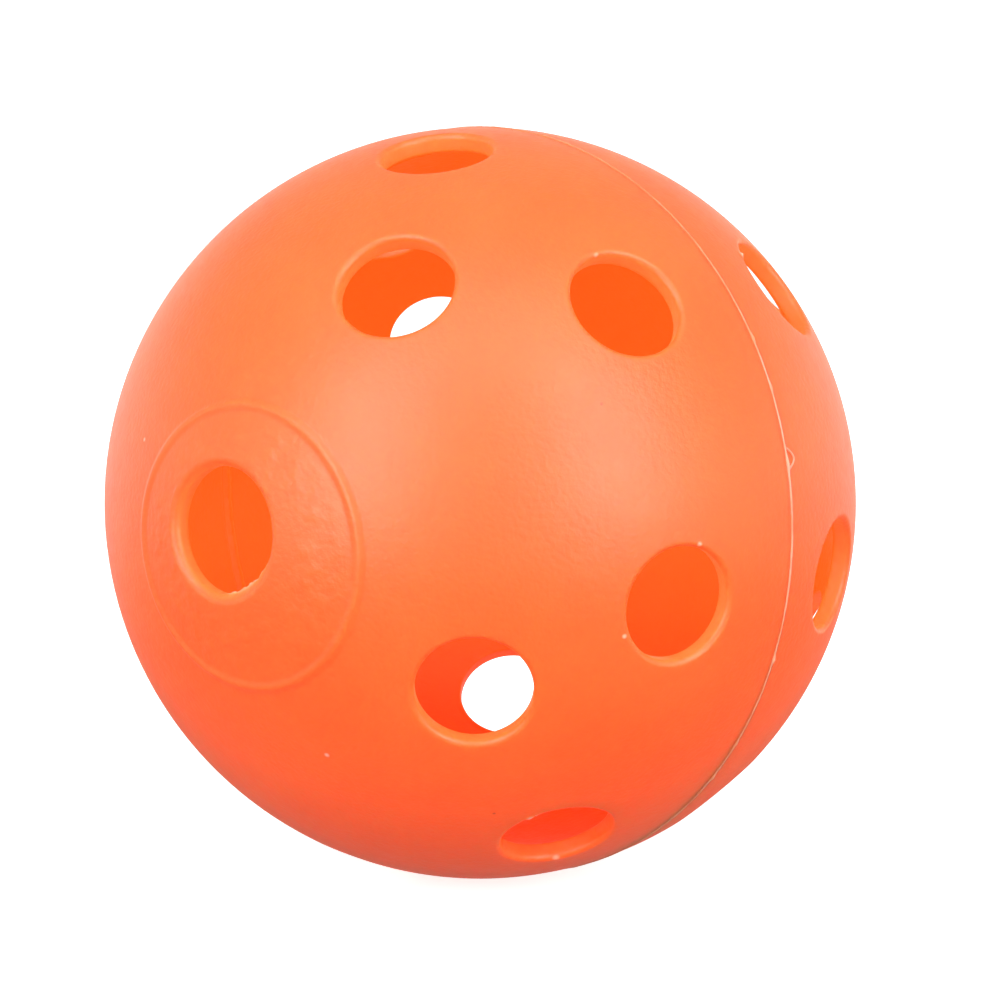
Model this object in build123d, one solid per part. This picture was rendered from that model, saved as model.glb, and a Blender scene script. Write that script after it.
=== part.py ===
from build123d import *
import os
from math import asin, cos, degrees, radians, sin, sqrt

# Perforated indoor pickleball: two moulded half shells, butt-welded round the equator.
# Frame: origin at the ball's centre. Y is the mould axis, through both pole holes: the half with the
# raised ring is towards -Y, the plain half towards +Y. Z is up.

# ---- driving dimensions, mm and degrees ----
ball_diameter = 74.0
wall = 1.8

side_hole_diameter = 10.6
pole_hole_diameter = 11.7
rim_break = 0.25             # chamfer round the mouth of every side hole

# every side hole: its angle from its own pole, then its turn from +Z towards +X about the mould axis
ringed_inner_row = ((44.9, 27.0), (42.8, 120.1), (60.5, 216.0), (59.5, 297.5))
ringed_outer_row = ((72.2, 6.5), (70.6, 51.7), (69.1, 98.6), (70.4, 145.6),
                    (72.5, 190.5), (75.5, 237.0), (75.5, 278.0), (73.5, 323.5))
plain_inner_row = ((51.5, 39.0), (51.5, 121.0), (52.0, 210.1), (52.0, 300.1))
plain_outer_row = ((72.5, 7.0), (71.7, 51.1), (73.6, 98.2), (73.0, 143.0),
                   (70.5, 190.5), (73.5, 232.6), (74.0, 277.6), (73.5, 322.6))

# moulding offsets at the poles, as (x, z) on the ball's face
ringed_pole_hole_shift = (0.0, 1.0)
plain_pole_hole_shift = (0.0, 0.0)
ring_shift = (1.6, -0.4)

ring_diameter = 25.7         # raised ring round the pole
ring_bead_radius = 0.5
ring_bead_proud = 0.15

# the weld: each half's lip is bevelled outside and inside, and the melt fills the two grooves
outer_groove_width = 0.6
outer_groove_depth = 0.35
outer_bead_proud = 0.3
inner_groove_width = 1.4
inner_groove_depth = 0.4
inner_bead_proud = 0.5

# ---- sizes that follow ----
outer_radius = ball_diameter / 2
inner_radius = outer_radius - wall
side_hole_radius = side_hole_diameter / 2
pole_hole_radius = pole_hole_diameter / 2
cutter_start = 0.6 * outer_radius
cutter_end = 1.2 * outer_radius


def direction(angle_from_pole, turn, pole_sign):
    """Unit vector at an angle from a pole; pole_sign is -1 for the ringed pole, +1 for the plain one."""
    away, about = radians(angle_from_pole), radians(turn)
    return Vector(sin(away) * sin(about), pole_sign * cos(away), sin(away) * cos(about))


def shifted(vector, shift):
    """Turn a direction so that one at the ringed pole moves to shift, as (x, z) on the ball's face."""
    x, z = shift
    turned = vector.rotate(Axis.Z, degrees(asin(x / outer_radius)))
    return turned.rotate(Axis.X, -degrees(asin(z / outer_radius)))


def row(holes, pole_sign):
    """The axes of a row of holes."""
    return [direction(angle, turn, pole_sign) for angle, turn in holes]


def along(vector):
    """A plane at the ball's centre that looks out along a direction."""
    return Plane(origin=(0, 0, 0), z_dir=vector)


def side_hole_cutter():
    """A bar along +Z with a flared shoulder that bevels the mouth of the hole."""
    mouth = sqrt(outer_radius**2 - side_hole_radius**2)
    flare = side_hole_radius + 2 * rim_break
    outline = Polyline(
        (0, 0, cutter_start),
        (side_hole_radius, 0, cutter_start),
        (side_hole_radius, 0, mouth - rim_break),
        (flare, 0, mouth + rim_break),
        (flare, 0, cutter_end),
        (0, 0, cutter_end),
        close=True,
    )
    return revolve(make_face(outline), Axis.Z)


def pole_hole_cutter(shift, pole_sign):
    """A plain bar parallel to the mould axis."""
    x, z = shift
    middle = pole_sign * (cutter_start + cutter_end) / 2
    bar = Cylinder(pole_hole_radius, cutter_end - cutter_start)
    return Pos(x, middle, z) * Rot(90, 0, 0) * bar


def half_shell(pole_sign):
    """Revolve one half's wall, with both edges of its lip bevelled for the weld."""
    outer_lip = outer_groove_width / 2
    inner_lip = inner_groove_width / 2
    far = radians(45)

    def on_circle(radius, angle):
        return radius * cos(angle), pole_sign * radius * sin(angle)

    outer_edge = (sqrt(outer_radius**2 - outer_lip**2), pole_sign * outer_lip)
    inner_edge = (sqrt(inner_radius**2 - inner_lip**2), pole_sign * inner_lip)
    outer_arc = ThreePointArc(outer_edge, on_circle(outer_radius, far), (0, pole_sign * outer_radius))
    inner_arc = ThreePointArc((0, pole_sign * inner_radius), on_circle(inner_radius, far), inner_edge)
    axis_line = Line((0, pole_sign * outer_radius), (0, pole_sign * inner_radius))
    lip = Polyline(
        inner_edge,
        (inner_radius + inner_groove_depth, 0),
        (outer_radius - outer_groove_depth, 0),
        outer_edge,
    )
    return revolve(make_face(outer_arc + axis_line + inner_arc + lip), Axis.Y)


def raised_ring():
    """The half-round bead that stands round the ringed pole."""
    centre = shifted(Vector(0, -1, 0), ring_shift)
    ring_radius = ring_diameter / 2
    sunk = outer_radius + ring_bead_proud - ring_bead_radius
    tube_radius = ring_radius * sunk / outer_radius
    height = sqrt(sunk**2 - tube_radius**2)
    return along(centre) * Pos(0, 0, height) * Torus(tube_radius, ring_bead_radius)


def pierced(shell, axes, pole_hole):
    cutters = [along(axis) * side_hole_cutter() for axis in axes]
    return shell - (cutters + [pole_hole])


def weld_bead(radius, groove_width, groove_depth, proud):
    """A ring whose root fills a V groove; a negative depth and height make the one inside the ball."""
    half_width = groove_width / 2
    edge = sqrt(radius**2 - half_width**2)
    crown = ThreePointArc((edge, -half_width), (radius + proud, 0), (edge, half_width))
    root = Polyline((edge, half_width), (radius - groove_depth, 0), (edge, -half_width))
    return revolve(make_face(crown + root), Axis.Y)


ringed_axes = row(ringed_inner_row + ringed_outer_row, -1)
plain_axes = row(plain_inner_row + plain_outer_row, 1)

nodes = {
    "ringed_half_shell": pierced(
        half_shell(-1) + raised_ring(), ringed_axes, pole_hole_cutter(ringed_pole_hole_shift, -1)
    ),
    "plain_half_shell": pierced(
        half_shell(1), plain_axes, pole_hole_cutter(plain_pole_hole_shift, 1)
    ),
    "outer_weld_bead": weld_bead(
        outer_radius, outer_groove_width, outer_groove_depth, outer_bead_proud
    ),
    "inner_weld_bead": weld_bead(
        inner_radius, inner_groove_width, -inner_groove_depth, -inner_bead_proud
    ),
}

os.makedirs("parts", exist_ok=True)
for name, shape in nodes.items():
    export_step(shape, f"parts/{name}.step")
    print(name, f"{shape.volume:.1f} mm3")
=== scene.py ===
import bpy
import bmesh
import math
from mathutils import Matrix, Vector


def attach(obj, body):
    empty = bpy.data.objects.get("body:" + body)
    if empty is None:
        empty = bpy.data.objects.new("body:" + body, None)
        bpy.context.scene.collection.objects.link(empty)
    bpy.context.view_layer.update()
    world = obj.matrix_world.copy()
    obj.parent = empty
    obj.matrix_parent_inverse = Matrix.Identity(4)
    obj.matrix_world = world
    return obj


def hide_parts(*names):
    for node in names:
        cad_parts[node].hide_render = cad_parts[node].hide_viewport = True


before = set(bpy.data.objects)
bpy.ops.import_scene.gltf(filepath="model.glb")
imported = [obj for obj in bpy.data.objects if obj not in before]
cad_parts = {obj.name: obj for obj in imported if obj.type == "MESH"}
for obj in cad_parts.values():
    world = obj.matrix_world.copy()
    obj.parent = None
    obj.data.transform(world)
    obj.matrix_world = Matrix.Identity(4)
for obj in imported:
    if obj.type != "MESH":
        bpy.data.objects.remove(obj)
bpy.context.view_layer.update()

# A perforated plastic ball: two moulded half shells, butt-welded round the equator.
# Y is the mould axis, the ringed half towards -Y and the plain half towards +Y. Z is up.

MM = 0.001

# ---- sizes of the moulding, mm and degrees ----
ball_radius = 37.0
wall = 1.8
side_hole_radius = 5.3
pole_hole_radius = 5.85
rim_rounding = 0.5
pole_rim_rounding = 0.75
inner_rim_rounding = 0.3
row_turn = 7.6                   # of the cells; each hole has its own place in its cell

# every side hole: its angle from its own pole, then its turn from +Z towards +X about the mould axis
ringed_inner_row = ((44.9, 27.0), (42.8, 120.1), (60.5, 216.0), (59.5, 297.5))
ringed_outer_row = ((72.2, 6.5), (70.6, 51.7), (69.1, 98.6), (70.4, 145.6),
                    (72.5, 190.5), (75.5, 237.0), (75.5, 278.0), (73.5, 323.5))
plain_inner_row = ((51.5, 39.0), (51.5, 121.0), (52.0, 210.1), (52.0, 300.1))
plain_outer_row = ((72.5, 7.0), (71.7, 51.1), (73.6, 98.2), (73.0, 143.0),
                   (70.5, 190.5), (73.5, 232.6), (74.0, 277.6), (73.5, 322.6))

ringed_pole_hole_shift = (0.0, 1.0)
ring_shift = (1.6, -0.4)
ring_radius = 12.85
ring_height = 0.2
ring_half_width = 0.62
lump_height, lump_size = 0.06, 1.3
lumps_start, lumps_end = (6.6, 7.6), (10.6, 12.2)    # where they fade in and out, from the ring's middle
burr_bearing, burr_reach, burr_height = (0.553, 0.0, -0.833), 38.0, 0.5
outer_groove = (0.6, 0.35)       # width, depth
inner_groove = (1.4, 0.4)
outer_ridge = (0.09, 0.22, 0.27)     # height, width, tallest
inner_ridge = (0.3, 1.6, 0.45)

# the flake of flash on the weld: its two roots' turns, then mm
flake_turns = (77.6, 80.6)
flake_reach, flake_lift, flake_thickness = 0.95, 0.05, 0.2

# points of flash on the rims: place x, y, z, reach and height, mm
ringed_nibs = ((23.79, -12.15, 25.6, 0.7, 0.25), (25.8, -8.88, 24.99, 0.6, 0.2),
               (35.07, -11.8, 0.31, 0.6, 0.22), (34.43, -10.14, -9.0, 0.5, 0.2),
               (30.06, -7.85, 20.09, 0.8, 0.12), (30.55, -10.3, 18.16, 0.7, 0.12),
               (20.19, -17.16, -25.82, 0.8, 0.25))
plain_nibs = ((26.39, 6.85, 25.02, 0.7, 0.3), (26.96, 7.66, 24.15, 0.6, 0.25))

# ---- how finely a half shell is meshed ----
pitch_samples = 28               # samples along 45 degrees of a parallel
side_samples = 18                # samples up the side of one hole's cell
side_face_rows, pole_face_rows = 16, 72
rim_rows, wall_rows, pole_wall_rows, inner_rim_rows, inside_rows = 6, 3, 7, 4, 9
smoothing_rounds = 12
merge_distance = 2e-6            # metres
sharp_angle = 38.0

# ---- the borders between the cells, in degrees from the pole ----
cap_edge_angle = 28.0
ringed_row_border, plain_row_border = 63.2, 61.7
border_wave = 7.0                # how far the border between the rows weaves, towards -X
border_lean = 5.5                # how far the ringed half's leans towards the weld, at -X
inner_row_share, outer_row_share = 0.46, 0.54    # of that weave
even_cell_height = 34.0          # of the cell that sets the bearings of a hole's mesh lines


# ------------------------------------------------------------------ node trees as expressions

class Wire:
    """A socket, or a plain number, whose arithmetic adds Math or Vector Math nodes to its tree."""

    def __init__(self, bench, socket):
        self.bench = bench
        self.socket = socket

    def is_vector(self):
        return self.socket.type in ("VECTOR", "RGBA")

    def operate(self, operation, *others):
        parts = [self.socket] + [getattr(other, "socket", other) for other in others]
        vector = any(isinstance(p, (tuple, Vector)) or getattr(p, "type", "") in ("VECTOR", "RGBA")
                     for p in parts)
        if vector:
            return self.bench.vector_math(operation, parts)
        return self.bench.add("ShaderNodeMath", {"operation": operation}, dict(enumerate(parts)))

    def reflected(self, operation, other):
        parts = [other, self.socket]
        if self.is_vector():
            return self.bench.vector_math(operation, parts)
        return self.bench.add("ShaderNodeMath", {"operation": operation}, dict(enumerate(parts)))

    def __add__(self, other):
        return self.operate("ADD", other)

    def __radd__(self, other):
        return self.reflected("ADD", other)

    def __sub__(self, other):
        return self.operate("SUBTRACT", other)

    def __rsub__(self, other):
        return self.reflected("SUBTRACT", other)

    def __mul__(self, other):
        return self.operate("MULTIPLY", other)

    def __rmul__(self, other):
        return self.reflected("MULTIPLY", other)

    def __truediv__(self, other):
        return self.operate("DIVIDE", other)

    def __pow__(self, other):
        return self.operate("POWER", other)

    def __neg__(self):
        return self.reflected("MULTIPLY", -1.0)

    def one(self, operation):
        return self.bench.add("ShaderNodeMath", {"operation": operation}, {0: self.socket})

    def sin(self):
        return self.one("SINE")

    def cos(self):
        return self.one("COSINE")

    def arcsin(self):
        return self.one("ARCSINE")

    def arccos(self):
        return self.one("ARCCOSINE")

    def root(self):
        return self.one("SQRT")

    def absolute(self):
        return self.one("ABSOLUTE")

    def at_least(self, other):
        return self.operate("MAXIMUM", other)

    def at_most(self, other):
        return self.operate("MINIMUM", other)

    def clipped(self):
        return self.at_least(0.0).at_most(1.0)

    def between(self, low, high):
        """0 below low, 1 above high, smooth between."""
        share = ((self - low) / (high - low)).clipped()
        return share * share * (3.0 - share * 2.0)

    def dot(self, other):
        return self.bench.vector_math("DOT_PRODUCT", [self.socket, getattr(other, "socket", other)], 1)

    def length(self):
        return self.bench.vector_math("LENGTH", [self.socket], 1)

    def unit(self):
        return self.bench.vector_math("NORMALIZE", [self.socket])

    def times(self, share):
        """A vector scaled by a number."""
        return self.bench.add("ShaderNodeVectorMath", {"operation": "SCALE"},
                              {"Vector": self.socket, "Scale": share})

    def part(self, axis):
        return self.bench.add("ShaderNodeSeparateXYZ", {}, {0: self.socket}, "XYZ".index(axis))


class Bench:
    """A node tree being built, for geometry or for a material."""

    def __init__(self, tree):
        self.tree = tree

    def add(self, kind, settings=None, sockets=None, out=0):
        """Adds a node: its settings first, then the values or links of its sockets."""
        node = self.tree.nodes.new(kind)
        for name, value in (settings or {}).items():
            setattr(node, name, value)
        for name, value in (sockets or {}).items():
            self.feed(node.inputs[name], value)
        return Wire(self, node.outputs[out]) if len(node.outputs) else None

    def feed(self, socket, value):
        value = getattr(value, "socket", value)
        if isinstance(value, bpy.types.NodeSocket):
            self.tree.links.new(value, socket)
        else:
            socket.default_value = value

    def vector_math(self, operation, parts, out=0):
        """Vector Math, with a lone number spread over the three axes."""
        sockets = {}
        for i, part in enumerate(parts):
            part = getattr(part, "socket", part)
            if isinstance(part, (int, float)):
                part = (part, part, part)
            sockets[i] = part
        return self.add("ShaderNodeVectorMath", {"operation": operation}, sockets, out)

    def vector(self, x, y, z):
        return self.add("ShaderNodeCombineXYZ", {}, {0: x, 1: y, 2: z})

    def mix(self, share, low, high, kind="FLOAT"):
        first = {"FLOAT": 2, "VECTOR": 4, "RGBA": 6}[kind]
        out = {"FLOAT": 0, "VECTOR": 1, "RGBA": 2}[kind]
        return self.add("ShaderNodeMix", {"data_type": kind}, {0: share, first: low, first + 1: high}, out)


class GeometryBench(Bench):
    """A geometry tree with named inputs for its sizes."""

    def __init__(self, name):
        super().__init__(bpy.data.node_groups.new(name, "GeometryNodeTree"))
        self.tree.interface.new_socket("Geometry", in_out="OUTPUT", socket_type="NodeSocketGeometry")
        self.tree.interface.new_socket("Geometry", in_out="INPUT", socket_type="NodeSocketGeometry")
        self.way_in = self.tree.nodes.new("NodeGroupInput")
        self.way_out = self.tree.nodes.new("NodeGroupOutput")
        self.sizes = {}

    def size(self, name, value, kind="NodeSocketFloat"):
        """A named input, and the wire that carries it."""
        item = self.tree.interface.new_socket(name, in_out="INPUT", socket_type=kind)
        self.sizes[item.identifier] = value
        return Wire(self, self.way_in.outputs[name])

    def material(self, value):
        return self.size("Material", value, "NodeSocketMaterial")

    def position(self):
        return self.add("GeometryNodeInputPosition")

    def named(self, name, kind="FLOAT"):
        return self.add("GeometryNodeInputNamedAttribute", {"data_type": kind}, {"Name": name})

    def store(self, geometry, name, value, kind="FLOAT", domain="POINT"):
        return self.add("GeometryNodeStoreNamedAttribute", {"data_type": kind, "domain": domain},
                        {"Geometry": geometry, "Name": name, "Value": value})

    def move(self, geometry, position=None, offset=None):
        sockets = {"Geometry": geometry}
        if position is not None:
            sockets["Position"] = position
        if offset is not None:
            sockets["Offset"] = offset
        return self.add("GeometryNodeSetPosition", {}, sockets)

    def copies(self, count, item):
        """Copies of a mesh, each with its number in the attribute 'number'."""
        points = self.add("GeometryNodePoints", {}, {"Count": count})
        points = self.store(points, "number", self.add("GeometryNodeInputIndex"))
        placed = self.add("GeometryNodeInstanceOnPoints", {}, {"Points": points, "Instance": item})
        return self.add("GeometryNodeRealizeInstances", {}, {"Geometry": placed})

    def join(self, parts):
        joined = self.tree.nodes.new("GeometryNodeJoinGeometry")
        for part in parts:
            self.tree.links.new(part.socket, joined.inputs[0])
        return Wire(self, joined.outputs[0])

    def finish(self, geometry, material):
        geometry = self.add("GeometryNodeRealizeInstances", {}, {"Geometry": geometry})
        geometry = self.add("GeometryNodeSetMaterial", {}, {"Geometry": geometry, "Material": material})
        self.feed(self.way_out.inputs["Geometry"], geometry)

    def make_piece(self, name):
        """Runs the tree and returns its result as a plain mesh object at the origin."""
        seed_object = bpy.data.objects.new(name, bpy.data.meshes.new(name + "_seed"))
        bpy.context.scene.collection.objects.link(seed_object)
        modifier = seed_object.modifiers.new("shape", "NODES")
        modifier.node_group = self.tree
        for identifier, value in self.sizes.items():
            modifier[identifier] = value
        evaluated = seed_object.evaluated_get(bpy.context.evaluated_depsgraph_get())
        mesh = bpy.data.meshes.new_from_object(evaluated)
        mesh.name = name
        seed_object.modifiers.remove(modifier)
        seed_object.data = mesh
        close_seams(mesh)
        return seed_object


def close_seams(mesh):
    """Merges the doubles along the cells' borders and turns every face outwards."""
    shape = bmesh.new()
    shape.from_mesh(mesh)
    bmesh.ops.remove_doubles(shape, verts=shape.verts, dist=merge_distance)
    bmesh.ops.recalc_face_normals(shape, faces=shape.faces)
    for edge in shape.edges:
        if len(edge.link_faces) == 2 and edge.calc_face_angle() > math.radians(sharp_angle):
            edge.smooth = False
    for face in shape.faces:
        face.smooth = True
    shape.to_mesh(mesh)
    shape.free()
    spent = ("number", "sample", "step", "loose")
    for name in [layer.name for layer in mesh.attributes if layer.name in spent]:
        mesh.attributes.remove(mesh.attributes[name])


# ------------------------------------------------------------------ the half shells

class ShellBench(GeometryBench):
    """One half shell: a mesh cell round each hole, which runs over the rim, through the wall and back."""

    def __init__(self, name, pole_sign):
        super().__init__(name)
        self.pole_sign = pole_sign
        self.radius = self.size("Ball Radius", ball_radius * MM)
        self.thickness = self.size("Wall", wall * MM)
        self.side_hole = self.size("Side Hole Radius", side_hole_radius * MM)
        self.pole_hole = self.size("Pole Hole Radius", pole_hole_radius * MM)
        self.rounding = self.size("Rim Rounding", rim_rounding * MM)
        self.pole_rounding = self.size("Pole Rim Rounding", pole_rim_rounding * MM)
        self.inner_rounding = self.size("Inner Rim Rounding", inner_rim_rounding * MM)
        self.turn = self.size("Row Turn", math.radians(row_turn))
        self.wave = self.size("Border Wave", math.radians(border_wave))
        self.lean = self.size("Border Lean", math.radians(border_lean if pole_sign < 0 else 0.0))
        self.cell_height = self.size("Cell Height", math.radians(even_cell_height))

    def direction(self, from_pole, about):
        return self.vector(from_pole.sin() * about.sin(), from_pole.cos() * self.pole_sign,
                           from_pole.sin() * about.cos())

    def pick(self, number, values):
        """The value in a cell's own place in a row's table."""
        picked = 0.0
        for place, value in enumerate(values):
            picked = (1.0 - (number - float(place)).absolute()).at_least(0.0) * value + picked
        return picked

    def stage(self, step, start, rows):
        """How far a row is through one stretch of the profile, 0 to 1."""
        return ((step - start) / rows).clipped()

    def band(self, holes, across, up, low, high, lip, first_turn, face_rows):
        """A ring of cells between two parallels, with one hole in each.

        holes is the row's table, or the pole hole's offset; across and up are the samples along a
        cell's parallels and its sides; low and high are the parallels' angles from the pole; lip is
        the angles of the weld's two grooves, for the row beside the weld.
        """
        at_pole = up == 0
        count = 1 if at_pole else len(holes)
        samples = across * (1 if at_pole else 2) + 2 * up
        stretches = (face_rows, rim_rows, pole_wall_rows if at_pole else wall_rows,
                     inner_rim_rows, inside_rows)
        total = sum(stretches)
        grid = self.add("GeometryNodeMeshGrid", {}, {
            "Size X": 1.0, "Size Y": 1.0, "Vertices X": samples + 1, "Vertices Y": total + 1})
        cells = self.copies(count, grid)
        place = self.position()
        # numbers are kept before the points are moved
        cells = self.store(cells, "sample", (place.part("X") + 0.5) * samples)
        cells = self.store(cells, "step", (place.part("Y") + 0.5) * total)
        sample = self.named("sample")
        step = self.named("step")
        number = self.named("number")

        start = 0
        stages = []
        for length in stretches:
            stages.append(self.stage(step, start, length))
            start += length
        over_face, over_rim, through, over_inner_rim, inside = stages
        eased = 1.0 - (1.0 - over_face) ** 1.5

        pitch = 2 * math.pi / count
        middle = self.turn + first_turn + number * pitch
        if at_pole:
            about = middle + (sample / across - 0.5) * pitch
            axis = self.vector(0.0, float(self.pole_sign), 0.0)
            centre = self.vector(holes[0] * MM, 0.0, holes[1] * MM)
            return self.pole_profile(cells, self.direction(low, about), axis, centre, eased, stages[1:])
        along_cell = (sample / across).clipped() - ((sample - across - up) / across).clipped()
        up_cell = ((sample - across) / up).clipped() - ((sample - 2 * across - up) / up).clipped()
        about = middle + (along_cell - 0.5) * pitch
        bottom = self.between_rows(low, about) if lip else low
        top = high - self.mix(through, lip[0], lip[1]) if lip else self.between_rows(high, about)
        border = self.direction(bottom + up_cell * (top - bottom), about)
        hole_angle = self.pick(number, [math.radians(angle) for angle, turn in holes])
        hole_turn = self.pick(number, [math.radians(turn) for angle, turn in holes])
        axis = self.direction(hole_angle, hole_turn)
        # the points that may slide over the ball's two faces when the mesh is evened out
        at_lip = (up_cell * 1000.0 - 999.0).at_least(0.0) if lip else 0.0
        on_border = (1.0 - step).at_least(0.0) + (step - (total - 1.0)).at_least(0.0)
        on_outer_face = (1.0 - step / face_rows).clipped()
        on_inner_face = (step / inside_rows - (total / inside_rows - 1.0)).clipped()
        on_face = on_outer_face + on_inner_face
        cells = self.store(cells, "loose", on_face * (1.0 - on_border * at_lip))
        # the mesh's lines reach the rim at bearings taken from an even cell round the hole
        even_cell = self.direction(hole_angle + (up_cell - 0.5) * self.cell_height, about)
        bearing = (even_cell - axis.times(even_cell.dot(axis))).unit()
        return self.side_profile(cells, border, axis, bearing, eased, stages[1:])

    def evened(self, shell):
        """Slides the loose points towards their neighbours' middle, each at its own radius."""
        shell = self.add("GeometryNodeMergeByDistance", {}, {"Geometry": shell, "Distance": merge_distance})
        place = self.position()
        middle = self.add("GeometryNodeBlurAttribute", {"data_type": "FLOAT_VECTOR"},
                          {"Value": place, "Iterations": smoothing_rounds, "Weight": self.named("loose")})
        loose = (self.named("loose") * 20.0).clipped()
        return self.move(shell, self.mix(loose, place, middle.unit().times(place.length()), "VECTOR"))

    def between_rows(self, angle, about):
        """The border between the rows leans out towards -X, and weaves between their holes there."""
        past = about - self.turn - math.pi / 8
        weave = (past * 4.0).cos() * inner_row_share + (past * 8.0).cos() * outer_row_share
        return angle + weave * self.wave * (0.5 - about.sin() * 0.5) - about.sin() * self.lean

    def side_profile(self, cells, border, axis, bearing, eased, stages):
        """A side hole's cell: over the ball's face, round the rim, through the wall and back inside."""
        over_rim, through, over_inner_rim, inside = stages
        hole = self.side_hole
        radius, inner_radius = self.radius, self.radius - self.thickness
        rounding, inner_rounding = self.rounding, self.inner_rounding

        def toward(angle):
            return bearing.times(angle.sin()) + axis.times(angle.cos())

        rim_angle = ((hole + rounding) / (radius - rounding)).arcsin()
        inner_rim_angle = ((hole + inner_rounding) / (inner_radius + inner_rounding)).arcsin()
        rim_height = ((radius - rounding) ** 2.0 - (hole + rounding) ** 2.0).root()
        inner_rim_height = ((inner_radius + inner_rounding) ** 2.0 - (hole + inner_rounding) ** 2.0).root()
        quarter = math.pi / 2
        face = self.mix(eased, border, toward(rim_angle), "VECTOR").unit().times(radius)
        rim_turn = rim_angle + (-quarter - rim_angle) * over_rim
        rim = (toward(rim_turn) - toward(rim_angle)).times(rounding)
        drop = axis.times((inner_rim_height - rim_height) * through)
        inner_turn = (inner_rim_angle - quarter) * over_inner_rim - quarter
        inner_rim = (toward(inner_turn) + bearing).times(inner_rounding)
        inner_edge = toward(inner_rim_angle)
        inner_way = self.mix(inside, inner_edge, border, "VECTOR").unit()
        inner_face = (inner_way - inner_edge).times(inner_radius)
        place = face + rim + drop + inner_rim + inner_face
        return self.move(cells, place)

    def pole_profile(self, cells, border, axis, centre, eased, stages):
        """The cap round a pole hole, whose bore is parallel to the mould axis and off the pole."""
        over_rim, through, over_inner_rim, inside = stages
        hole = self.pole_hole
        radius, inner_radius = self.radius, self.radius - self.thickness
        rounding, inner_rounding = self.pole_rounding, self.inner_rounding
        # flat places across the mould axis: the cap's border and the bore's edge, same bearing
        flat_border = border - axis.times(border.dot(axis))
        bearing = (flat_border.times(radius) - centre).unit()
        outer_edge = flat_border.times(radius)
        inner_edge = flat_border.times(inner_radius)
        rim_edge = centre + bearing.times(hole + rounding)
        inner_rim_edge = centre + bearing.times(hole + inner_rounding)

        def on_ball(flat, size):
            return flat + axis.times((size * size - flat.dot(flat)).at_least(0.0).root())

        # the rounding's centre line lies a rounding's depth inside the ball
        rim_core = on_ball(rim_edge, radius - rounding)
        inner_core = on_ball(inner_rim_edge, inner_radius + inner_rounding)
        rim_out = rim_core.unit()
        inner_out = inner_core.unit()
        rim_touch = rim_core + rim_out.times(rounding)
        inner_touch = inner_core - inner_out.times(inner_rounding)
        flat_touch = rim_touch - axis.times(rim_touch.dot(axis))
        flat_inner_touch = inner_touch - axis.times(inner_touch.dot(axis))
        face = on_ball(self.mix(eased, outer_edge, flat_touch, "VECTOR"), radius)
        # each rounding turns from the ball's slope to the bore's wall
        inward = -bearing
        rim = (self.turned(rim_out, inward, over_rim) - rim_out).times(rounding)
        rim_end = rim_core + inward.times(rounding)
        inner_start = inner_core + inward.times(inner_rounding)
        fin = inward.times(self.burr(bearing, over_rim, through))
        drop = (inner_start - rim_end).times(through) + fin
        inner_rim = (self.turned(inward, -inner_out, over_inner_rim) - inward).times(inner_rounding)
        flat_way = self.mix(inside, flat_inner_touch, inner_edge, "VECTOR")
        inner_face = on_ball(flat_way, inner_radius) - inner_touch
        place = face + rim + drop + inner_rim + inner_face
        return self.move(cells, place)

    def burr(self, bearing, over_rim, through):
        """How far a fin of flash stands into the bore, on one side of its mouth."""
        away = bearing.dot(Vector(burr_bearing)).at_most(1.0).arccos() / math.radians(burr_reach)
        fin = (1.0 - away).at_least(0.0).root()
        ragged = self.add("ShaderNodeTexNoise", {}, {"Vector": bearing, "Scale": 9.0, "Detail": 2.0})
        at_mouth = over_rim.between(0.55, 1.0) * (1.0 - through / 0.25).at_least(0.0)
        return fin * at_mouth * (0.4 + ragged * 1.2) * (burr_height * MM if self.pole_sign < 0 else 0.0)

    def turned(self, start, end, share):
        """A unit vector part of the way round from one to another, at an even rate."""
        angle = start.dot(end).arccos()
        whole = angle.sin().at_least(1e-6)
        return (start.times((angle * (1.0 - share)).sin() / whole)
                + end.times((angle * share).sin() / whole))

    def lip(self, lip_angles):
        """The strip between the outside and the inside at the weld: a bevel, the butt face, a bevel."""
        around = 8 * pitch_samples
        grid = self.add("GeometryNodeMeshGrid", {}, {
            "Size X": 1.0, "Size Y": 1.0, "Vertices X": around + 1, "Vertices Y": 4})
        place = self.position()
        grid = self.store(grid, "sample", (place.part("X") + 0.5) * around)
        grid = self.store(grid, "step", (place.part("Y") + 0.5) * 3.0)
        sample = self.named("sample")
        step = self.named("step")
        about = self.turn + math.radians(22.5) + sample * (2 * math.pi / around)
        inner_radius = self.radius - self.thickness
        outer_bevel = step.clipped()
        butt = (step - 1.0).clipped()
        inner_bevel = (step - 2.0).clipped()
        start = self.vector(self.radius * math.cos(lip_angles[0]),
                            self.radius * math.sin(lip_angles[0]), 0.0)
        outer_root = self.vector(self.radius - outer_groove[1] * MM, 0.0, 0.0)
        inner_root = self.vector(inner_radius + inner_groove[1] * MM, 0.0, 0.0)
        end = self.vector(inner_radius * math.cos(lip_angles[1]),
                          inner_radius * math.sin(lip_angles[1]), 0.0)
        section = (start + (outer_root - start).times(outer_bevel)
                   + (inner_root - outer_root).times(butt) + (end - inner_root).times(inner_bevel))
        out = section.part("X")
        along_axis = section.part("Y")
        place = self.vector(out * about.sin(), along_axis * self.pole_sign, out * about.cos())
        return self.move(grid, place)


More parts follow.
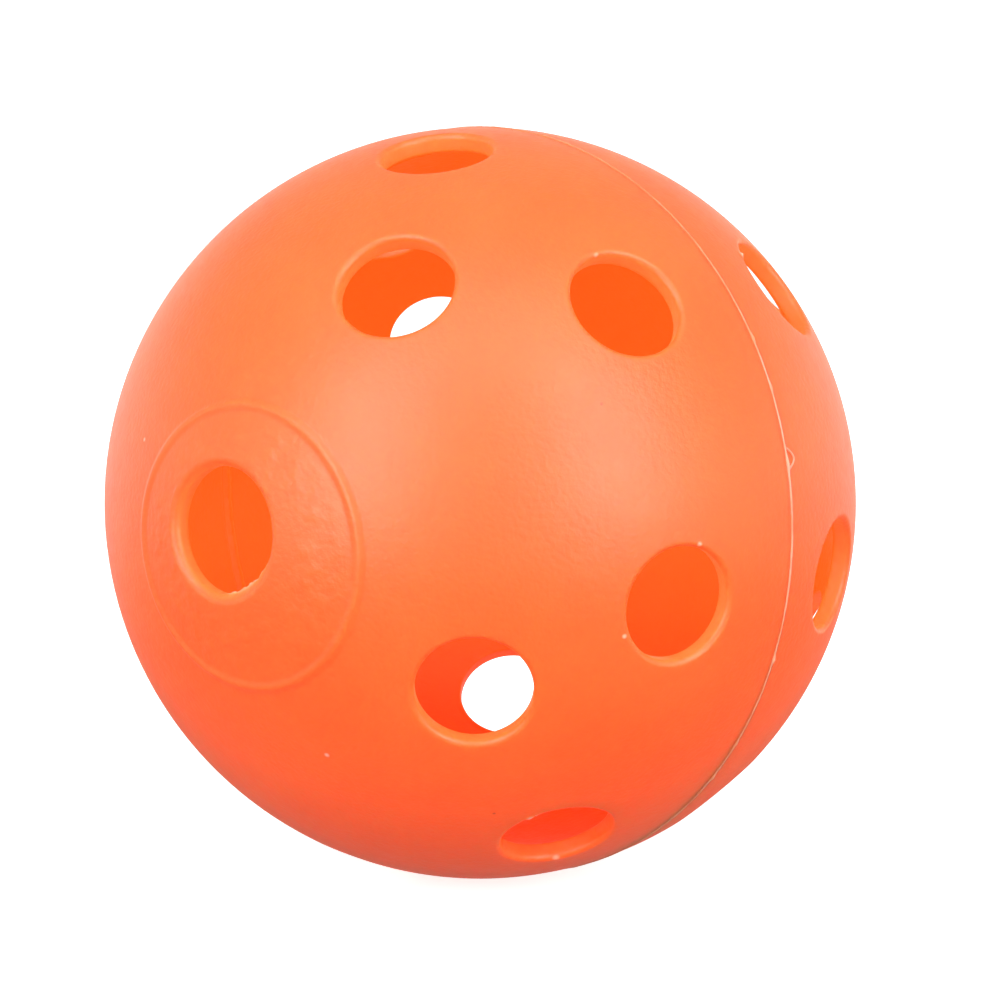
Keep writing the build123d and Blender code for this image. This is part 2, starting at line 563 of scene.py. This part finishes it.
def half_shell(name, pole_sign, inner_row, outer_row, pole_hole_shift, plastic):
    """The cap round the pole hole, two rows of cells and the lip, joined and smoothed."""
    bench = ShellBench(name, pole_sign)
    cap_edge = bench.size("Pole Cap Angle", math.radians(cap_edge_angle))
    border_angle = ringed_row_border if pole_sign < 0 else plain_row_border
    row_border = bench.size("Row Border Angle", math.radians(border_angle))
    material = bench.material(plastic)
    lip_angles = (math.asin(outer_groove[0] / 2 / ball_radius),
                  math.asin(inner_groove[0] / 2 / (ball_radius - wall)))
    half_turn = math.pi / 8
    cap = bench.band(pole_hole_shift, 8 * pitch_samples, 0, cap_edge, None, None,
                     math.pi + half_turn, pole_face_rows)
    inner = bench.band(inner_row, 2 * pitch_samples, side_samples, cap_edge, row_border, None,
                       half_turn, side_face_rows)
    outer = bench.band(outer_row, pitch_samples, side_samples, row_border, math.pi / 2, lip_angles,
                       0.0, side_face_rows)
    shell = bench.evened(bench.join([cap, inner, outer, bench.lip(lip_angles)]))
    if pole_sign < 0:
        shell = bench.move(shell, offset=ring_relief(bench))
    shell = bench.move(shell, offset=nibs(bench, ringed_nibs if pole_sign < 0 else plain_nibs))
    bench.finish(shell, material)
    return bench.make_piece(name)


def ring_relief(bench):
    """The raised ring and the slight lumps inside it, on the ringed half's outer face only."""
    place = bench.position()
    flat = bench.vector(place.part("X") - ring_shift[0] * MM, 0.0,
                        place.part("Z") - ring_shift[1] * MM)
    out = flat.length()
    from_ring = (out - ring_radius * MM) / (ring_half_width * MM)
    ridge = (1.0 - from_ring * from_ring).at_least(0.0)
    lumps = bench.add("ShaderNodeTexNoise", {}, {
        "Vector": place, "Scale": 1.0 / (lump_size * MM), "Detail": 2.0})
    lumps = lumps.between(0.42, 0.72) * (1.0 - out.between(lumps_end[0] * MM, lumps_end[1] * MM))
    edge = out.between(lumps_start[0] * MM, lumps_start[1] * MM)
    on_face = ((place.length() - (ball_radius - 0.05) * MM) / (0.04 * MM)).clipped()
    rise = ridge * ridge * (ring_height * MM) + lumps * edge * (lump_height * MM)
    return place.unit().times(rise * on_face)


def nibs(bench, marks):
    """Small points of flash that stand on the rims of the holes."""
    place = bench.position()
    rise = 0.0
    for x, y, z, reach, height in marks:
        gap = (place - Vector((x, y, z)) * MM).length() / (reach * MM)
        point = (1.0 - gap).at_least(0.0)
        rise = point * point * (height * MM) + rise
    inside_box = 1.0 - ((place.length() - ball_radius * MM) / (0.12 * MM)).clipped()
    return place.unit().times(rise * inside_box)


# ------------------------------------------------------------------ the weld

weld_samples = 1440


class WeldBench(GeometryBench):
    """A bead of remelted plastic round the equator, filling a groove and standing a little proud."""

    def bead(self, radius, groove, ridge_size, facing, nibs, plastic):
        """facing is +1 for the bead outside the ball and -1 for the one inside.

        nibs are its thickest places: their turn about the mould axis, reach in degrees, and swelling.
        """
        proud, ridge_width, limit = ridge_size
        radius = self.size("Radius", radius * MM)
        width = self.size("Groove Width", groove[0] * MM)
        depth = self.size("Groove Depth", groove[1] * MM)
        proud = self.size("Ridge Height", proud * MM)
        ridge = self.size("Ridge Width", ridge_width * MM)
        seed = self.size("Seed", 4.0)
        material = self.material(plastic)
        rows = 16
        grid = self.add("GeometryNodeMeshGrid", {}, {
            "Size X": 1.0, "Size Y": 1.0, "Vertices X": weld_samples + 1, "Vertices Y": rows + 3})
        place = self.position()
        grid = self.store(grid, "about", (place.part("X") + 0.5) * (2 * math.pi))
        grid = self.store(grid, "step", (place.part("Y") + 0.5) * (rows + 2.0))
        about = self.named("about")
        step = self.named("step")
        ring_place = self.vector(about.sin(), 0.0, about.cos())

        def rough(scale, detail, offset):
            noise = self.add("ShaderNodeTexNoise", {"noise_dimensions": "4D"}, {
                "Vector": ring_place, "W": seed + offset, "Scale": scale, "Detail": detail})
            return (noise - 0.5) * 2.0

        across = ((step - 1.0) / rows).clipped() - 0.5
        at_root = 1.0 - (step.clipped() * ((rows + 2.0) - step).clipped())
        wander = rough(9.0, 3.0, 0.0) * (ridge * 0.25)
        swell = 1.0 + rough(26.0, 4.0, 7.0) * 0.9
        off_ridge = (across * width - wander) / (ridge * 0.5)
        for turn, reach, height in nibs:
            gap = (about - math.radians(turn)).absolute() / math.radians(reach)
            swell = swell + (1.0 - gap).at_least(0.0) * height
        swell = swell.at_least(0.25)
        off_ridge = off_ridge / (0.4 + swell * 0.6).at_least(0.6)
        crown = (1.0 - off_ridge * off_ridge).at_least(0.0)
        grid = self.store(grid, "ridge", crown.root() * swell.clipped())
        to_edge = 1.0 - across * across * 4.0
        height = (crown * proud * swell).at_most(limit * MM) * to_edge.at_least(0.0)
        out = radius + height * facing - at_root * depth * facing
        sag = (1.0 - at_root) * across * width
        chord = (out * out - sag * sag).root()
        bead = self.move(grid, self.vector(chord * about.sin(), sag, chord * about.cos()))
        self.finish(self.join([bead, self.flake()]) if facing > 0 else bead, material)

    def flake(self):
        """A hair of flash that loops out of the weld over the plain half."""
        points = 17
        line = self.add("GeometryNodeCurvePrimitiveLine")
        line = self.add("GeometryNodeResampleCurve", {"mode": "COUNT"}, {"Curve": line, "Count": points})
        along = self.add("GeometryNodeInputIndex") / (points - 1.0)
        turn = math.radians(flake_turns[0]) + along * math.radians(flake_turns[1] - flake_turns[0])
        across = (along * math.pi).sin() * (flake_reach * MM) + 0.1 * MM
        out = ((ball_radius * MM) ** 2 - across * across).root() + flake_lift * MM
        line = self.move(line, self.vector(out * turn.sin(), across, out * turn.cos()))
        hair = self.add("GeometryNodeCurvePrimitiveCircle", {"mode": "RADIUS"},
                        {"Resolution": 6, "Radius": flake_thickness / 2 * MM})
        tube = self.add("GeometryNodeCurveToMesh", {},
                        {"Curve": line, "Profile Curve": hair, "Fill Caps": True})
        return self.store(tube, "ridge", 1.0)


def weld_bead(name, radius, groove, ridge_size, facing, nibs, plastic):
    bench = WeldBench(name)
    bench.bead(radius, groove, ridge_size, facing, nibs, plastic)
    return bench.make_piece(name)


# ------------------------------------------------------------------ plastics

class PlasticBench(Bench):
    """A material's tree, with its Principled shader."""

    def __init__(self, name):
        self.made = bpy.data.materials.new(name)
        self.made.use_nodes = True
        super().__init__(self.made.node_tree)
        self.tree.nodes.clear()
        self.shader = self.add("ShaderNodeBsdfPrincipled")
        self.add("ShaderNodeOutputMaterial", {}, {"Surface": self.shader})
        self.place = self.add("ShaderNodeTexCoord", {}, {}, "Object")

    def set(self, **constants):
        for name, value in constants.items():
            self.shader.socket.node.inputs[name.replace("_", " ")].default_value = value

    def drive(self, name, value):
        self.feed(self.shader.socket.node.inputs[name], value)

    def noise(self, size, detail=2.0):
        """Smooth noise from 0 to 1 whose blobs are about size mm across."""
        return self.add("ShaderNodeTexNoise", {}, {
            "Vector": self.place, "Scale": 1.0 / (size * MM), "Detail": detail})


shell_colour = (0.96, 0.118, 0.017)
pale_shell_colour = (0.97, 0.132, 0.021)
# pale colour: a painted highlight on the weld's ridge, also given to the fin of flash at the ringed bore's
# mouth
pale_ridge_highlight_and_fin_colour = (1.0, 0.3, 0.19)
# emitted colours: painted light that stands in for daylight soaking through the wall
painted_inner_light_colour = (0.62, 0.085, 0.006)
painted_wall_light_colour = (0.5, 0.1, 0.026)
# pale spots: partly painted glints, partly pale specks
pale_glint_and_speck_colour = (1.0, 0.62, 0.5)
dark_speck_colour = (0.35, 0.03, 0.006)
scatter_depth = 3.5              # mm

# spots: place x, y, z and radius, mm. The pale ones are partly painted glints on the holes' rims and partly
# pale specks; the dark ones are moulded-in specks.
pale_glints_and_specks = ((-12.41, -33.86, 8.27, 0.16), (31.44, -17.98, -7.55, 0.18), (35.07, -11.8, 0.31, 0.2),
               (34.43, -10.14, -9.0, 0.2), (23.79, -12.15, 25.6, 0.25), (25.8, -8.88, 24.99, 0.2),
               (26.39, 6.85, 25.02, 0.3), (26.96, 7.66, 24.15, 0.25), (20.19, -17.16, -25.82, 0.3),
               (16.74, -8.94, -31.76, 0.3), (7.31, -30.64, -19.41, 0.2))
dark_specks = ((29.25, -18.59, 12.97, 0.13), (18.28, -20.11, -25.1, 0.13), (24.85, 4.09, -27.11, 0.16))


def polyethylene(name, roughness, scatter, with_ridge_highlight):
    """Translucent moulded plastic; its last flag paints a pale highlight along the weld where it stands
    proud.
    """
    bench = PlasticBench(name)
    cloud = bench.noise(14.0, 2.0)
    base = bench.mix(cloud.between(0.3, 0.75), shell_colour + (1.0,),
                     pale_shell_colour + (1.0,), "RGBA")
    if with_ridge_highlight:
        # painted highlight: the weld's proud ridge is coloured pale, patchy along its length and fainter
        # high up
        ridge = bench.add("ShaderNodeAttribute", {"attribute_name": "ridge"}, {}, "Fac")
        shown = ridge.between(0.1, 0.7) * (0.55 + 0.45 * bench.noise(2.6, 2.0).between(0.35, 0.6))
        high_up = bench.place.part("Z").between(12 * MM, 26 * MM)
        base = bench.mix(shown * (1.0 - high_up * 0.6), base, pale_ridge_highlight_and_fin_colour + (1.0,), "RGBA")
    else:
        # pale spots, partly painted glints on the holes' rims, and dark specks are mixed into the colour
        for colour, marks in ((pale_glint_and_speck_colour, pale_glints_and_specks), (dark_speck_colour, dark_specks)):
            shown = 0.0
            for x, y, z, size in marks:
                gap = (bench.place - Vector((x, y, z)) * MM).length() / (size * MM)
                shown = (1.0 - gap.between(0.3, 1.7)) + shown
            base = bench.mix(shown.clipped() * 0.6, base, colour + (1.0,), "RGBA")
        # the fin of flash at the ringed bore's mouth is coloured in the same pale colour
        bore_middle = Vector((0.0, 0.0, ringed_pole_hole_shift[1])) * MM
        from_bore = (bench.place - bore_middle) * Vector((1.0, 0.0, 1.0))
        into_bore = pole_hole_radius * MM - from_bore.length()
        at_mouth = (-bench.place.part("Y")).between(35.4 * MM, 35.9 * MM)
        fin = into_bore.between(0.05 * MM, 0.3 * MM) * at_mouth
        base = bench.mix(fin * 0.7, base, pale_ridge_highlight_and_fin_colour + (1.0,), "RGBA")
    bench.drive("Base Color", base)
    # painted light: an emitted glow stands in for daylight that soaks through the wall and brightens the
    # holes' sides and the inner face, with painted shade lower down
    out = bench.place.length()
    in_wall = 1.0 - out.between((ball_radius - 0.7) * MM, (ball_radius - 0.06) * MM)
    inside = 1.0 - out.between((ball_radius - wall) * MM, (ball_radius - 1.2) * MM)
    glow = bench.mix(inside, painted_wall_light_colour + (1.0,), painted_inner_light_colour + (1.0,), "RGBA")
    painted_daylight = in_wall * (0.12 + bench.place.part("Z").between(-32 * MM, -6 * MM) * 0.88)
    bench.drive("Emission Color", bench.mix(painted_daylight, (0.0, 0.0, 0.0, 1.0), glow, "RGBA"))
    grain = bench.noise(0.5, 2.0)
    swell = bench.noise(3.2, 2.0)
    bench.drive("Roughness", roughness + (bench.noise(1.4, 2.0) - 0.5) * 0.12)
    relief = grain * 0.05 + swell * 0.05
    bench.drive("Normal", bench.add("ShaderNodeBump", {}, {
        "Strength": 1.0, "Distance": MM, "Height": relief}))
    bench.set(IOR=1.51, Subsurface_Weight=scatter, Subsurface_Scale=scatter_depth * MM)
    bench.set(Subsurface_Radius=(1.0, 0.5, 0.2), Emission_Strength=1.0)
    return bench.made


shell_plastic = polyethylene("orange_polyethylene", 0.42, 0.9, False)
weld_plastic = polyethylene("remelted_polyethylene", 0.36, 0.5, True)

# the outer weld's thickest places: turn about the mould axis, reach in degrees, swelling
weld_nibs = ((61.2, 1.2, 1.5), (68.8, 1.2, 1.2), (80.0, 1.6, 1.5), (87.0, 9.0, 0.5), (95.0, 8.0, 0.4),
             (108.5, 1.0, 1.8), (123.0, 0.9, 1.0), (130.0, 0.8, 1.2), (221.0, 1.2, 1.3), (317.0, 1.1, 1.5))

ringed_half = half_shell("ringed_half", -1, ringed_inner_row, ringed_outer_row,
                         ringed_pole_hole_shift, shell_plastic)
plain_half = half_shell("plain_half", 1, plain_inner_row, plain_outer_row, (0.0, 0.0), shell_plastic)
outer_weld = weld_bead("outer_weld", ball_radius, outer_groove, outer_ridge, 1.0,
                       weld_nibs, weld_plastic)
inner_weld = weld_bead("inner_weld", ball_radius - wall, inner_groove, inner_ridge, -1.0,
                       (), shell_plastic)

for piece, node, slot in (
    (ringed_half, "ringed_half_shell", "shell_plastic"),
    (plain_half, "plain_half_shell", "shell_plastic"),
    (outer_weld, "outer_weld_bead", "weld_plastic"),
    (inner_weld, "inner_weld_bead", "weld_plastic"),
):
    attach(piece, "root")
    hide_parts(node)


# ------------------------------------------------------------------ floor, light and camera

floor_glow = 0.75
sky_strength = 1.4


def pale_floor():
    shape = bmesh.new()
    bmesh.ops.create_circle(shape, cap_ends=True, segments=96, radius=4.0,
                            matrix=Matrix.Translation((0, 0, -(ball_radius + 0.02) * MM)))
    mesh = bpy.data.meshes.new("floor")
    shape.to_mesh(mesh)
    shape.free()
    floor = bpy.data.objects.new("floor", mesh)
    bpy.context.scene.collection.objects.link(floor)
    bench = PlasticBench("pale_floor")
    tone = bench.noise(900.0, 1.0)
    bench.drive("Base Color", bench.mix(tone, (0.84, 0.84, 0.84, 1.0), (0.88, 0.88, 0.88, 1.0), "RGBA"))
    bench.set(Roughness=0.9, Specular_IOR_Level=0.0, Emission_Color=(1.0, 1.0, 1.0, 1.0))
    bench.set(Emission_Strength=floor_glow)
    mesh.materials.append(bench.made)
    # the ball is lit from below by the studio's own dim lower half
    floor.visible_diffuse = False
    floor.visible_glossy = False
    floor.visible_transmission = False


def back_from_ball(azimuth, elevation):
    a, e = math.radians(azimuth), math.radians(elevation)
    return Vector((math.sin(a) * math.cos(e), -math.cos(a) * math.cos(e), math.sin(e)))


def softbox(name, azimuth, elevation, distance, width, height, radiance):
    """A rectangular soft light that looks at the ball, given by its brightness."""
    lamp = bpy.data.lights.new(name, "AREA")
    lamp.shape = "RECTANGLE"
    lamp.size = width
    lamp.size_y = height
    lamp.energy = radiance * math.pi * width * height
    place = bpy.data.objects.new(name, lamp)
    bpy.context.scene.collection.objects.link(place)
    out = back_from_ball(azimuth, elevation)
    place.location = out * distance
    place.rotation_euler = (-out).to_track_quat("-Z", "Y").to_euler()


camera_azimuth = 39.7
camera_elevation = 7.3
camera_distance = 0.296
lens = 107.4
sensor_width = 36.0
aim_aside, aim_above = 0.0195, 0.0028    # of the frame's width, from the ball's centre
dim_below, dim_above = 0.24, 0.4

pale_floor()
softbox("right_softbox", camera_azimuth + 40, camera_elevation + 14, 0.8, 0.36, 0.75, 6.4)
softbox("left_softbox", camera_azimuth - 37, camera_elevation + 14, 0.8, 0.36, 0.75, 6.0)
softbox("front_softbox", camera_azimuth, 58, 0.9, 0.9, 0.6, 1.9)

sky = bpy.data.worlds.new("white_studio")
sky.use_nodes = True
sky_bench = Bench(sky.node_tree)
height = sky_bench.add("ShaderNodeTexCoord", {}, {}, "Generated").part("Z")
brightness = (dim_below + (1.0 - dim_below) * height.between(-0.35, 0.02)
              - (1.0 - dim_above) * height.between(0.06, 0.5))
background = sky.node_tree.nodes["Background"]
sky_bench.feed(background.inputs["Color"], sky_bench.vector(brightness, brightness, brightness))
background.inputs["Strength"].default_value = sky_strength
bpy.context.scene.world = sky
bpy.context.scene.view_settings.view_transform = "Standard"

eye = bpy.data.cameras.new("camera")
eye.lens = lens
eye.sensor_width = sensor_width
eye.clip_start = 0.01
eye.clip_end = 20.0
camera = bpy.data.objects.new("camera", eye)
bpy.context.scene.collection.objects.link(camera)
back = back_from_ball(camera_azimuth, camera_elevation)
right = Vector((math.cos(math.radians(camera_azimuth)), math.sin(math.radians(camera_azimuth)), 0.0))
up = back.cross(right)
camera.location = back * camera_distance
# the ball's centre stands a little left of and below the frame's middle
reach = camera_distance / (lens / sensor_width)
aim = right * (aim_aside * reach) + up * (aim_above * reach)
sight = (aim - camera.location).normalized()
camera.rotation_mode = "QUATERNION"
camera.rotation_quaternion = sight.to_track_quat("-Z", "Y")
bpy.context.scene.camera = camera
